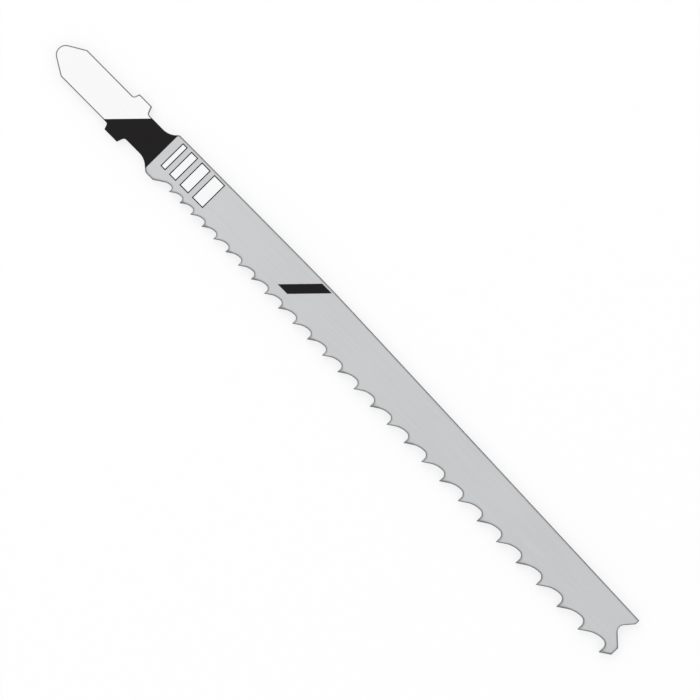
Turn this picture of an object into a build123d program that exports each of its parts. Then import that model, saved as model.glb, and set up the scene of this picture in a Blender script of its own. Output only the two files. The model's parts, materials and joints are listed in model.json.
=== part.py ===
from build123d import *

import os
from math import acos, cos, degrees, radians, sin, tan

# A T-shank jigsaw blade, lying flat. All lengths are in millimetres and all angles in degrees.
# +X runs along the shank's axis towards the tip end, +Y towards the back edge, +Z out of the flat face.
# The origin is on the shank's axis, midway along the ears and midway through the sheet.

# Sheet
sheet_thickness = 1.25
edge_break = 0.12  # small chamfer round the shank, the neck and the back edge

# Shank, the same on both sides of its axis
shank_width = 6.0
shank_length = 14.47  # from the nose to the ears' leading corners
nose_radius = 1.6
nose_flank_angle = 31.0  # from the shank's axis to each flank of the nose

# Ears, which the saw's clamp hooks behind
ear_span = 8.0
ear_length = 2.8
ear_lean = 20.0  # from square across the shank to each end of an ear
ear_lead_fillet = 0.4  # on the shank's side
ear_trail_fillet = 0.6  # on the neck's side
ear_fillet_limit = 0.5  # either fillet is at most this share of the ear's height there

# Neck, and how it widens into the body
neck_width = 5.4
flare_radius = 3.0  # hollow curve on both sides of the neck
back_shoulder_radius = 0.5  # the back side swings straight from the hollow curve into this one
heel_flare_angle = 41.0  # slope down to the heel, or less where the heel is too shallow for both its curves
heel_corner_radius = 0.8

# Body
back_height = 3.95  # from the shank's axis up to the back edge
back_shoulder_reach = 8.03  # from the middle of the ears to where the back edge is straight
back_straight = 33.8  # stretch of back edge that runs parallel to the shank
back_lean = 1.85  # fall of the rest of the back edge towards the tip end
back_bend_radius = 300.0
heel_depth = 4.2  # from the shank's axis down to the unmilled heel
heel_reach = 8.15  # from the middle of the ears to the heel's corner
heel_length = 1.7

# Teeth: the gaps are milled along one straight cutting line, and each is wider than the one before it
tooth_count = 28
first_pitch = 2.35
last_pitch = 5.06
cutting_line_depth = 3.62  # from the shank's axis down to the start of the cutting line
cutting_line_lean = 1.67  # fall of the cutting line towards the tip end
clearance_angle = 35.6  # slope behind each point
gullet_depth_share = 0.372  # of its own pitch
throat_radius_share = 0.195  # of its own pitch, the tight curve in front of each point

# Side set: each point leans out of the sheet, to alternate sides, from a bend across the root of its tooth
side_set = 0.22
bend_depth_share = 0.8  # of the depth of the gap in front of the point
rake_side_share = 0.3  # where a gap is divided between its two teeth, from the point behind it

# Tip end
end_land = 1.64  # from the last point to the end face, along the cutting line
prong_height = 1.55
prong_flank_angle = 41.0  # slope of the notch on the prong's side, to the cutting line
lip_height = 0.85
lip_setback = 0.9  # how far the back lip stops short of the end face
lip_flank_angle = 51.0  # slope of the notch on the lip's side, to the cutting line
notch_radius = 1.1

mill_overrun = 0.5  # how far the milling cuts run past the points and past both faces
same_place = 0.001  # places nearer to each other than this are one place


# Milled gaps, from the heel to the last point
pitch_growth = (last_pitch - first_pitch) / (tooth_count - 1)
pitches = [first_pitch + pitch_growth * index for index in range(tooth_count)]
points = [sum(pitches[:index]) for index in range(tooth_count + 1)]
gap_depths = [gullet_depth_share * pitch for pitch in pitches]
end_along = points[-1] + end_land
root_depth = gap_depths[-1]
sharp_along = points[-2]  # from the last gap on, the rim stays sharp

# The cutting line starts where the heel's own slope reaches it. Its plane has X along the line, Y into the body.
heel_end_x = heel_reach + heel_length
heel_rise = heel_depth - cutting_line_depth
cutting_start_x = heel_end_x + heel_rise / tan(radians(clearance_angle - cutting_line_lean))
line_direction = (cos(radians(cutting_line_lean)), -sin(radians(cutting_line_lean)), 0)
cutting_plane = Plane(
    origin=(cutting_start_x, -cutting_line_depth, 0), x_dir=line_direction, z_dir=(0, 0, 1)
)

# Height of the ears over the shank and over the neck. The neck starts where their trailing ends reach its width.
lead_rise = (ear_span - shank_width) / 2
trail_rise = (ear_span - neck_width) / 2
neck_start_x = ear_length / 2 + trail_rise * tan(radians(ear_lean))


def on_cutting_line(along, depth):
    """A place in the sheet's plane, given along the cutting line and in from it."""
    place = cutting_plane.from_local_coords(Vector(along, depth, 0))
    return (place.X, place.Y)


def shank_half():
    """Upper half of the shank, the ears and the start of the neck, closed along the axis."""
    nose_x = -ear_length / 2 - shank_length
    flank = radians(nose_flank_angle)
    flank_x = nose_x + nose_radius * (1 - sin(flank))
    flank_y = nose_radius * cos(flank)
    lead_run = lead_rise * tan(radians(ear_lean))
    lead_fillet = min(ear_lead_fillet, ear_fillet_limit * lead_rise)
    trail_fillet = min(ear_trail_fillet, ear_fillet_limit * trail_rise)
    with BuildSketch() as half:
        with BuildLine():
            nose = CenterArc((nose_x + nose_radius, 0), nose_radius, 180, nose_flank_angle - 90)
            side = FilletPolyline(
                nose @ 1,
                (flank_x + (shank_width / 2 - flank_y) / tan(flank), shank_width / 2),
                (-ear_length / 2 - lead_run, shank_width / 2),
                (-ear_length / 2, ear_span / 2),
                (ear_length / 2, ear_span / 2),
                (neck_start_x, neck_width / 2),
                (back_shoulder_reach, neck_width / 2),
                radius=[0, lead_fillet, 0, 0, trail_fillet],
            )
            Polyline(side @ 1, (back_shoulder_reach, 0), nose @ 0)
        make_face()
    return half.sketch


def body():
    """Body from the neck to the tip end, with a straight lower edge where the roots of the teeth join it."""
    neck_y = neck_width / 2
    swing_radii = flare_radius + back_shoulder_radius
    swing = acos(1 - (back_height - neck_y) / swing_radii)

    # The heel's hollow curve and its corner meet end to end, or at the ends of a straight slope
    heel_radii = flare_radius + heel_corner_radius
    heel_drop = heel_depth - neck_y
    heel_swing = min(radians(heel_flare_angle), acos(1 - heel_drop / heel_radii))
    slope_drop = heel_drop - heel_radii * (1 - cos(heel_swing))
    heel_corner_x = heel_reach + heel_corner_radius * tan(heel_swing / 2)

    # The back lip's end face is square to the cutting line
    bend_x = back_shoulder_reach + back_straight
    bend_along = cutting_plane.to_local_coords(Vector(bend_x, back_height, 0)).X
    lip_along = end_along - lip_setback
    lean_run = (lip_along - bend_along) / cos(radians(back_lean - cutting_line_lean))
    corner_x = bend_x + lean_run * cos(radians(back_lean))
    corner_y = back_height - lean_run * sin(radians(back_lean))
    lip_depth = cutting_plane.to_local_coords(Vector(corner_x, corner_y, 0)).Y - lip_height

    # The notch's flanks start at the lip and at the prong, and it reaches in to where they meet
    prong_depth = end_land * tan(radians(clearance_angle)) + prong_height
    prong_slope = tan(radians(prong_flank_angle))
    lip_slope = tan(radians(lip_flank_angle))
    notch_mouth = lip_depth - prong_depth
    notch_reach = (notch_mouth + lip_slope * lip_setback) / (lip_slope + prong_slope)

    strip_along = points[1] - rake_side_share * pitches[0]

    with BuildSketch() as side_view:
        with BuildLine():
            neck = Polyline(
                (neck_start_x, 0),
                (neck_start_x, neck_y),
                (back_shoulder_reach - swing_radii * sin(swing), neck_y),
            )
            hollow = JernArc(neck @ 1, tangent=(1, 0), radius=flare_radius, arc_size=degrees(swing))
            shoulder = JernArc(
                hollow @ 1, tangent=hollow % 1, radius=back_shoulder_radius, arc_size=-degrees(swing)
            )
            upper = FilletPolyline(
                shoulder @ 1,
                (bend_x, back_height),
                (corner_x, corner_y),
                on_cutting_line(lip_along, lip_depth),
                on_cutting_line(end_along - notch_reach, prong_depth + prong_slope * notch_reach),
                on_cutting_line(end_along, prong_depth),
                on_cutting_line(end_along, root_depth),
                radius=[back_bend_radius, 0, 0, notch_radius, 0],
            )
            roots = Polyline(
                upper @ 1,
                on_cutting_line(strip_along, root_depth),
                on_cutting_line(strip_along, 0),
                on_cutting_line(0, 0),
            )
            heel = Polyline(roots @ 1, (heel_end_x, -heel_depth), (heel_corner_x, -heel_depth))
            lower = JernArc(
                heel @ 1, tangent=(-1, 0), radius=heel_corner_radius, arc_size=-degrees(heel_swing)
            )
            if slope_drop > same_place:
                lower = Line(lower @ 1, lower @ 1 + lower % 1 * slope_drop / sin(heel_swing))
            hollow_below = JernArc(
                lower @ 1, tangent=lower % 1, radius=flare_radius, arc_size=degrees(heel_swing)
            )
            Polyline(hollow_below @ 1, (neck_start_x, -neck_y), neck @ 0)
        make_face()
    return side_view.sketch


def tooth_section(bend_depth, side):
    """Section square to the cutting line: flat sheet down to the bend, then leaning out to the point."""
    half = sheet_thickness / 2
    lean = side * side_set
    with BuildSketch() as section:
        with BuildLine():
            Polyline(
                (root_depth, half),
                (bend_depth, half),
                (0, half + lean),
                (0, -half + lean),
                (bend_depth, -half),
                (root_depth, -half),
                close=True,
            )
        make_face()
    return section.sketch


def milled_gaps():
    """Outline of all the gaps together, on the plane of the cutting line, with the points at depth 0."""
    slope = radians(clearance_angle)
    far_along = end_along + mill_overrun
    far_depth = (end_land + mill_overrun) * tan(slope)
    with BuildSketch() as gaps:
        with BuildLine():
            Polyline(
                (0, 0),
                (0, -mill_overrun),
                (far_along, -mill_overrun),
                (far_along, far_depth),
                (points[-1], 0),
            )
            for pitch, depth, point in zip(pitches, gap_depths, points[1:]):
                throat = throat_radius_share * pitch
                crown = ((pitch - throat) * tan(slope) - depth) / (1 / cos(slope) - 1)
                rake = Line((point, 0), (point, depth - throat))
                hook = JernArc(rake @ 1, tangent=(0, 1), radius=throat, arc_size=90)
                roof = JernArc(hook @ 1, tangent=(-1, 0), radius=crown, arc_size=clearance_angle)
                Line(roof @ 1, (point - pitch, 0))
        make_face()
    return gaps.sketch


def on_rim(edge):
    """True for an edge of a flat face that runs round the shank, the neck, the heel or the back edge."""
    middle = edge @ 0.5
    place = cutting_plane.to_local_coords(middle)
    along_face = abs(abs(middle.Z) - sheet_thickness / 2) < same_place
    beside_teeth = 0 < place.X and place.Y < root_depth + same_place
    at_tip_end = place.X > sharp_along
    return along_face and not beside_teeth and not at_tip_end


# Blade: one sheet with its rim broken, the tooth edge bent out to alternate sides, and the gaps milled through
with BuildPart() as blade:
    with BuildSketch():
        add(shank_half())
        mirror(about=Plane.XZ)
        add(body())
    extrude(amount=sheet_thickness / 2, both=True)
    chamfer(blade.edges().filter_by(on_rim), length=edge_break)

    for index in range(1, tooth_count + 1):
        start = points[index] - rake_side_share * pitches[index - 1]
        stop = end_along if index == tooth_count else points[index + 1] - rake_side_share * pitches[index]
        origin = cutting_plane.from_local_coords(Vector(start, 0, 0))
        with BuildSketch(Plane(origin=origin, x_dir=cutting_plane.y_dir, z_dir=line_direction)):
            add(tooth_section(bend_depth_share * gap_depths[index - 1], 1 if index % 2 else -1))
        extrude(amount=stop - start)

    with BuildSketch(cutting_plane):
        add(milled_gaps())
    extrude(amount=sheet_thickness / 2 + side_set + mill_overrun, both=True, mode=Mode.SUBTRACT)

blade.part.label = "blade"

os.makedirs("parts", exist_ok=True)
export_step(blade.part, "parts/blade.step")
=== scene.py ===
import json
from math import cos, radians, tan

import bmesh
import bpy
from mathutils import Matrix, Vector


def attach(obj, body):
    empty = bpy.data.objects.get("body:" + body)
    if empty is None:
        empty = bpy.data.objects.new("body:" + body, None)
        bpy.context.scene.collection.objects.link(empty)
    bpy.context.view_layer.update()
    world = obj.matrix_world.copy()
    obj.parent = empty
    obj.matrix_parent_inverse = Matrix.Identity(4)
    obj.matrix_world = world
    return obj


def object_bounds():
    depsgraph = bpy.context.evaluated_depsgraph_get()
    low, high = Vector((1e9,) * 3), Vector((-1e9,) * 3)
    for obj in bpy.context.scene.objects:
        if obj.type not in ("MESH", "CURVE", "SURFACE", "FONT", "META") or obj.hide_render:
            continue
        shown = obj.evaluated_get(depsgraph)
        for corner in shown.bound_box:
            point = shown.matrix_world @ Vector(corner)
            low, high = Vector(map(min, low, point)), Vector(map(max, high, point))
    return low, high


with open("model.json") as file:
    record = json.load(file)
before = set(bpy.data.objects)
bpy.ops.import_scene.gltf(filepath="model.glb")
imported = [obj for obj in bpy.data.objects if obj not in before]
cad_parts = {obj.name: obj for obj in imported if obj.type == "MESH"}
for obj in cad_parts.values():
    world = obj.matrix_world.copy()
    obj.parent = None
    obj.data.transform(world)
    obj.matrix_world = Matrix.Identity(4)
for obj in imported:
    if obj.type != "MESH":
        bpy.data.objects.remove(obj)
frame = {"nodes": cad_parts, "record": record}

# A T-shank jigsaw blade, lying flat with its printed face up. Lengths are in metres, angles in degrees.
# +X runs along the shank's axis to the tip end, +Y towards the back edge, +Z out of the printed face.

mm = 0.001
cad_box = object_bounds()
blade = frame["nodes"]["blade"]
mounts = {mount["name"]: mount for mount in frame["record"]["mounts"]}
face_z = mounts["shank_face"]["pos_m"][2]  # the flat face that carries the print

# Finish of the steel, and the painted shade along its cut edges
grinding_length = 9 * mm  # of one line that the grinding belt leaves
grinding_spacing = 0.15 * mm  # drawn coarser than the real 0.03 mm, which wouldn't show
grinding_depth = 0.01 * mm
cloud_size = 15 * mm  # slow changes of tone from the heat treatment
cloudiness = 0.08
rib_spacing = 0.3 * mm  # ribs that the cutter and the punch leave across the sheet's edges
rib_length = 6 * mm
edge_shade_reach = 0.6 * mm  # how far the painted shade reaches in from the cut edges, darkening a rim of the face
tooth_edge_shade_reach = 0.8 * mm
tooth_edge_shade_low = -2.4 * mm  # from here down the painted shade has its full reach at the teeth
tooth_edge_shade_high = -1.8 * mm
edge_shade_darkest_below = 0.9  # cosine of the rounded edge's lean, up to which the painted shade is at its darkest
edge_shade_gone_above = 0.985

# Every slanting boundary in the print leans the same way, measured from the shank's axis
print_slant = 46.0

# Print on the shank: a white field, then a black band round the neck
field_rim = 0.08 * mm  # bare steel left round the white field
band_rim = 0.02 * mm  # bare steel left below the black band, at the foot of the broken edge
band_start = 0.2 * mm  # where the white field ends, on the shank's axis
band_end = 7.7 * mm

# Print on the body: upright white stripes with dark keylines, each wider than the last, then a black bar
print_low = -1.72 * mm
print_high = 3.45 * mm
stripe_count = 4
stripes_start = 9.1 * mm
first_stripe_width = 1.1 * mm
stripe_growth = 0.45 * mm
stripe_gap = 0.85 * mm
keyline = 0.18 * mm
bar_start = 37.61 * mm  # where the bar crosses the shank's axis
bar_width = 2.2 * mm

# Ink is a film of one or two hundredths of a millimetre, and it keys into the steel's ground surface
ink_thickness = 0.015 * mm
ink_key = 0.005 * mm
ink_grain = 0.3 * mm  # from the pad that laid it down
ink_grain_depth = 0.005 * mm

# How far a facet may lean from the flat to count as the flat face, or as its broken edge too
face_lean = 2.5
edge_lean = 50.0
straight_within = 0.05  # a corner that turns by less than this isn't a corner
same_place = 0.0005 * mm  # corners closer together than this are one

# Added to the paper where it is seen, so that it is white in the light and keeps faint shadows
floor_lift = 0.745
floor_half = 3.0

# The light tent is bright overhead and dim towards the horizon, so that the steel's edges stand out
tent_overhead = 1.17
tent_horizon = 0.6
tent_bright_from = 0.6  # sine of the height above the horizon from which it is at its brightest

# The softbox stands over the shank's side
softbox_size = 0.8
softbox_energy = 2.5
softbox_offset = Vector((-0.75, 0.25, 0.95))

# The photograph looks straight down, with the shank's axis running to the lower right of the picture
view_centre = Vector((51.66 * mm, -0.89 * mm, face_z))
view_width = 112.63 * mm
view_turn = 45.3
camera_height = 0.8
nearest_seen = 0.01
farthest_seen = 10.0


def linear(hex_colour):
    """An sRGB hex colour, turned to the linear RGBA that a shader socket takes."""
    channels = [int(hex_colour[start : start + 2], 16) / 255 for start in (1, 3, 5)]
    return (*[c / 12.92 if c <= 0.04045 else ((c + 0.055) / 1.055) ** 2.4 for c in channels], 1.0)


def add_node(tree, kind, inputs=None, **settings):
    """Adds one node. An input is a value or a socket to link, and settings are the node's properties."""
    node = tree.nodes.new(kind)
    for name, value in settings.items():
        setattr(node, name, value)
    for name, value in (inputs or {}).items():
        if isinstance(value, bpy.types.NodeSocket):
            tree.links.new(value, node.inputs[name])
        else:
            node.inputs[name].default_value = value
    return node


def new_material(name):
    """A material with an empty node tree."""
    material = bpy.data.materials.new(name)
    material.use_nodes = True
    material.node_tree.nodes.clear()
    return material


def clear_of_edge_shade(tree, place):
    """1 on the flat faces, and 0 in the painted shade along the cut edges, which is widest at the teeth.
    """
    across = add_node(tree, "ShaderNodeSeparateXYZ", {"Vector": place}).outputs["Y"]
    reach = add_node(
        tree,
        "ShaderNodeMapRange",
        {
            "Value": across,
            "From Min": tooth_edge_shade_low,
            "From Max": tooth_edge_shade_high,
            "To Min": tooth_edge_shade_reach,
            "To Max": edge_shade_reach,
        },
    ).outputs["Result"]
    rounded = add_node(tree, "ShaderNodeBevel", {"Radius": reach}, samples=8).outputs["Normal"]
    rise = add_node(
        tree, "ShaderNodeVectorMath", {0: rounded, 1: (0.0, 0.0, 1.0)}, operation="DOT_PRODUCT"
    ).outputs["Value"]
    flatness = add_node(tree, "ShaderNodeMath", {0: rise}, operation="ABSOLUTE").outputs["Value"]
    fade = {"Value": flatness, "From Min": edge_shade_darkest_below, "From Max": edge_shade_gone_above}
    return add_node(tree, "ShaderNodeMapRange", fade).outputs["Result"]


def ground_steel():
    """Hardened tool steel. The eye sees a pale satin face with fine lines along it, and dark edges,
    which are painted shade with the cutter's ribs in it.
    """
    material = new_material("ground_hardened_steel")
    tree = material.node_tree
    place = add_node(tree, "ShaderNodeTexCoord").outputs["Object"]
    line_scale = (1 / grinding_length, 1 / grinding_spacing, 1 / grinding_spacing)
    lines_at = add_node(tree, "ShaderNodeMapping", {"Vector": place, "Scale": line_scale})
    lines = add_node(
        tree, "ShaderNodeTexNoise", {"Vector": lines_at.outputs["Vector"], "Scale": 1.0, "Detail": 3.0}
    ).outputs["Fac"]
    rib_scale = (1 / rib_spacing, 1 / rib_spacing, 1 / rib_length)
    ribs_at = add_node(tree, "ShaderNodeMapping", {"Vector": place, "Scale": rib_scale})
    ribs = add_node(
        tree, "ShaderNodeTexNoise", {"Vector": ribs_at.outputs["Vector"], "Scale": 1.0, "Detail": 2.0}
    ).outputs["Fac"]
    clouds = add_node(
        tree, "ShaderNodeTexNoise", {"Vector": place, "Scale": 1 / cloud_size, "Detail": 2.0}
    ).outputs["Fac"]
    # Mask of the painted shade: 0 along the cut edges and a rim of the face beside them, 1 on the open
    # face
    off_edge_shade = clear_of_edge_shade(tree, place)

    face_tone = add_node(
        tree,
        "ShaderNodeMix",
        {"Factor": lines, "A": linear("#C6C8CA"), "B": linear("#D5D7D8")},
        data_type="RGBA",
    )
    face_colour = add_node(
        tree,
        "ShaderNodeMix",
        {"Factor": cloudiness, "A": face_tone.outputs["Result"], "B": clouds},
        data_type="RGBA",
        blend_type="MULTIPLY",
    )
    # Painted shade: the cut edges and the rim of the face are coloured dark grey, with the real ribs
    # from the cutter in it
    edge_ribs_and_shade = add_node(
        tree,
        "ShaderNodeMix",
        {"Factor": ribs, "A": linear("#646667"), "B": linear("#8A8C8D")},
        data_type="RGBA",
    )
    colour = add_node(
        tree,
        "ShaderNodeMix",
        {"Factor": off_edge_shade, "A": edge_ribs_and_shade.outputs["Result"], "B": face_colour.outputs["Result"]},
        data_type="RGBA",
    )
    roughness = add_node(tree, "ShaderNodeMapRange", {"Value": lines, "To Min": 0.34, "To Max": 0.46})
    unevenness = add_node(
        tree, "ShaderNodeMix", {"Factor": off_edge_shade, "A": ribs, "B": lines}, data_type="FLOAT"
    ).outputs["Result"]
    relief = add_node(
        tree, "ShaderNodeBump", {"Strength": 0.25, "Distance": grinding_depth, "Height": unevenness}
    )
    surface = add_node(
        tree,
        "ShaderNodeBsdfPrincipled",
        {
            "Base Color": colour.outputs["Result"],
            "Metallic": 1.0,
            "Roughness": roughness.outputs["Result"],
            "Normal": relief.outputs["Normal"],
        },
    )
    add_node(tree, "ShaderNodeOutputMaterial", {"Surface": surface.outputs["BSDF"]})
    return material


def baked_ink(name, hex_colour, ior, roughness):
    """Baked printing ink. The eye sees a flat, even field with a soft sheen and a very fine grain."""
    material = new_material(name)
    tree = material.node_tree
    place = add_node(tree, "ShaderNodeTexCoord").outputs["Object"]
    grain = add_node(
        tree, "ShaderNodeTexNoise", {"Vector": place, "Scale": 1 / ink_grain, "Detail": 2.0}
    ).outputs["Fac"]
    colour = add_node(
        tree,
        "ShaderNodeMix",
        {"Factor": 0.04, "A": linear(hex_colour), "B": grain},
        data_type="RGBA",
        blend_type="MULTIPLY",
    )
    relief = add_node(
        tree, "ShaderNodeBump", {"Strength": 0.15, "Distance": ink_grain_depth, "Height": grain}
    )
    surface = add_node(
        tree,
        "ShaderNodeBsdfPrincipled",
        {
            "Base Color": colour.outputs["Result"],
            "Roughness": roughness,
            "IOR": ior,
            "Normal": relief.outputs["Normal"],
        },
    )
    add_node(tree, "ShaderNodeOutputMaterial", {"Surface": surface.outputs["BSDF"]})
    return material


def white_paper():
    """Matt white paper. The eye sees plain white, and the blade's soft shadow on it."""
    material = new_material("white_paper")
    tree = material.node_tree
    ray = add_node(tree, "ShaderNodeLightPath").outputs
    seen = ray["Is Camera Ray"]
    for way in ("Is Glossy Ray", "Is Transmission Ray"):
        either = add_node(tree, "ShaderNodeMath", {0: seen, 1: ray[way]}, operation="MAXIMUM")
        seen = either.outputs["Value"]
    lift = add_node(tree, "ShaderNodeMath", {0: seen, 1: floor_lift}, operation="MULTIPLY")
    matt = add_node(tree, "ShaderNodeBsdfDiffuse", {"Color": linear("#898989")})
    glow = add_node(tree, "ShaderNodeEmission", {"Strength": lift.outputs["Value"]})
    both = add_node(tree, "ShaderNodeAddShader", {0: matt.outputs["BSDF"], 1: glow.outputs["Emission"]})
    add_node(tree, "ShaderNodeOutputMaterial", {"Surface": both.outputs["Shader"]})
    return material


def printed_face(steepest=face_lean):
    """The flat face that carries the print, with what leans from it by no more than an angle."""
    shape = bmesh.new()
    shape.from_mesh(blade.data)
    bmesh.ops.remove_doubles(shape, verts=shape.verts, dist=same_place)
    shape.normal_update()
    elsewhere = [face for face in shape.faces if face.normal.z < cos(radians(steepest))]
    bmesh.ops.delete(shape, geom=elsewhere, context="FACES")
    return shape


def trim(shape, cuts):
    """Cuts a shape along planes, each given by a place on it and the side that goes.

    Edges that then part nothing are dissolved, so that the outline has only the points that it needs.
    """
    for place, side in cuts:
        bmesh.ops.bisect_plane(
            shape,
            geom=[*shape.verts, *shape.edges, *shape.faces],
            plane_co=place,
            plane_no=side,
            clear_outer=True,
        )
    bmesh.ops.dissolve_limit(
        shape,
        angle_limit=radians(straight_within),
        use_dissolve_boundaries=False,
        verts=shape.verts,
        edges=shape.edges,
    )


def draw_in(shape, width):
    """Draws a flat shape's outline in by a width, all round."""
    rim = bmesh.ops.inset_region(
        shape, faces=shape.faces, thickness=width, use_boundary=True, use_even_offset=True
    )
    bmesh.ops.delete(shape, geom=rim["faces"], context="FACES")


def slanting(start, side):
    """A cut along the print's slant, through a place on the axis. Side is +1 to lose what is beyond."""
    slope = tan(radians(print_slant))
    return (Vector((start, 0, 0)), side * Vector((slope, -1, 0)))


def square(start, side):
    """A cut square to the shank's axis. Side is +1 to lose what lies beyond it."""
    return (Vector((start, 0, 0)), side * Vector((1, 0, 0)))


def level(height, side):
    """A cut along the shank's axis. Side is +1 to lose what lies above it."""
    return (Vector((0, height, 0)), side * Vector((0, 1, 0)))


def flush(height):
    """A cut parallel to the sheet, to lose what lies deeper than a height."""
    return (Vector((0, 0, height)), Vector((0, 0, -1)))


def lay_ink(name, shapes, material, coats=1):
    """Turns shapes on the face into one film of ink. A second coat lies on the first."""
    film = bmesh.new()
    for shape in shapes:
        flat = bpy.data.meshes.new(name)
        shape.to_mesh(flat)
        shape.free()
        film.from_mesh(flat)
        bpy.data.meshes.remove(flat)
    bmesh.ops.translate(film, verts=film.verts, vec=(0, 0, -ink_key))
    raised = bmesh.ops.extrude_face_region(film, geom=film.faces)
    tops = [part for part in raised["geom"] if isinstance(part, bmesh.types.BMVert)]
    bmesh.ops.translate(film, verts=tops, vec=(0, 0, ink_key + coats * ink_thickness))
    bmesh.ops.recalc_face_normals(film, faces=film.faces)
    for face in film.faces:
        face.smooth = False
    mesh = bpy.data.meshes.new(name)
    film.to_mesh(mesh)
    film.free()
    mesh.materials.append(material)
    piece = bpy.data.objects.new(name, mesh)
    bpy.context.scene.collection.objects.link(piece)
    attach(piece, "root")


# Steel
blade.material_slots[0].material = ground_steel()

# Print
white_ink = baked_ink("baked_white_ink", "#F9F9FA", ior=1.45, roughness=0.42)
black_ink = baked_ink("baked_black_ink", "#120F10", ior=1.25, roughness=0.5)

shank_field = printed_face()
trim(shank_field, [square(stripes_start, 1)])
draw_in(shank_field, field_rim)
trim(shank_field, [slanting(band_start, 1)])
lay_ink("shank_print", [shank_field], white_ink)

neck_band = printed_face(steepest=edge_lean)
trim(neck_band, [slanting(band_start, -1), square(band_end, 1)])
edge_foot = min(corner.co.z for corner in neck_band.verts)
trim(neck_band, [flush(edge_foot + band_rim)])
lay_ink("neck_print", [neck_band], black_ink)

low_and_high = [level(print_low, -1), level(print_high, 1)]
stripe_grounds = []
stripe_fields = []
stripe_start = stripes_start
for index in range(stripe_count):
    stripe_end = stripe_start + first_stripe_width + index * stripe_growth
    for shapes in (stripe_grounds, stripe_fields):
        stripe = printed_face()
        trim(stripe, [square(stripe_start, -1), square(stripe_end, 1), *low_and_high])
        shapes.append(stripe)
    draw_in(stripe_fields[-1], keyline)
    stripe_start = stripe_end + stripe_gap
lay_ink("stripe_keylines", stripe_grounds, black_ink)
lay_ink("stripe_prints", stripe_fields, white_ink, coats=2)

bar = printed_face()
trim(bar, [slanting(bar_start, -1), slanting(bar_start + bar_width, 1), *low_and_high])
lay_ink("bar_print", [bar], black_ink)

# Floor
floor_shape = bmesh.new()
bmesh.ops.create_grid(floor_shape, x_segments=1, y_segments=1, size=floor_half)
bmesh.ops.translate(floor_shape, verts=floor_shape.verts, vec=(0, 0, cad_box[0].z))
floor_mesh = bpy.data.meshes.new("floor")
floor_shape.to_mesh(floor_mesh)
floor_shape.free()
floor_mesh.materials.append(white_paper())
floor = bpy.data.objects.new("floor", floor_mesh)
bpy.context.scene.collection.objects.link(floor)

# Light tent
world = bpy.data.worlds.new("light_tent")
world.use_nodes = True
world.node_tree.nodes.clear()
direction = add_node(world.node_tree, "ShaderNodeTexCoord")
height = add_node(world.node_tree, "ShaderNodeSeparateXYZ", {"Vector": direction.outputs["Generated"]})
strength = add_node(
    world.node_tree,
    "ShaderNodeMapRange",
    {
        "Value": height.outputs["Z"],
        "From Min": 0.0,
        "From Max": tent_bright_from,
        "To Min": tent_horizon,
        "To Max": tent_overhead,
    },
    interpolation_type="SMOOTHSTEP",
)
tent = add_node(world.node_tree, "ShaderNodeBackground", {"Strength": strength.outputs["Result"]})
add_node(world.node_tree, "ShaderNodeOutputWorld", {"Surface": tent.outputs["Background"]})
bpy.context.scene.world = world

# Softbox
softbox_data = bpy.data.lights.new("softbox", "AREA")
softbox_data.shape = "SQUARE"
softbox_data.size = softbox_size
softbox_data.energy = softbox_energy
softbox = bpy.data.objects.new("softbox", softbox_data)
bpy.context.scene.collection.objects.link(softbox)
softbox.location = view_centre + softbox_offset
softbox.rotation_mode = "QUATERNION"
softbox.rotation_quaternion = softbox_offset.to_track_quat("Z", "Y")

# Camera
camera_data = bpy.data.cameras.new("camera")
camera_data.lens = camera_data.sensor_width * camera_height / view_width
camera_data.clip_start = nearest_seen
camera_data.clip_end = farthest_seen
camera = bpy.data.objects.new("camera", camera_data)
bpy.context.scene.collection.objects.link(camera)
camera.location = view_centre + Vector((0, 0, camera_height))
camera.rotation_euler = (0, 0, radians(view_turn))
bpy.context.scene.camera = camera
bpy.context.scene.view_settings.view_transform = "Standard"

bpy.context.view_layer.update()
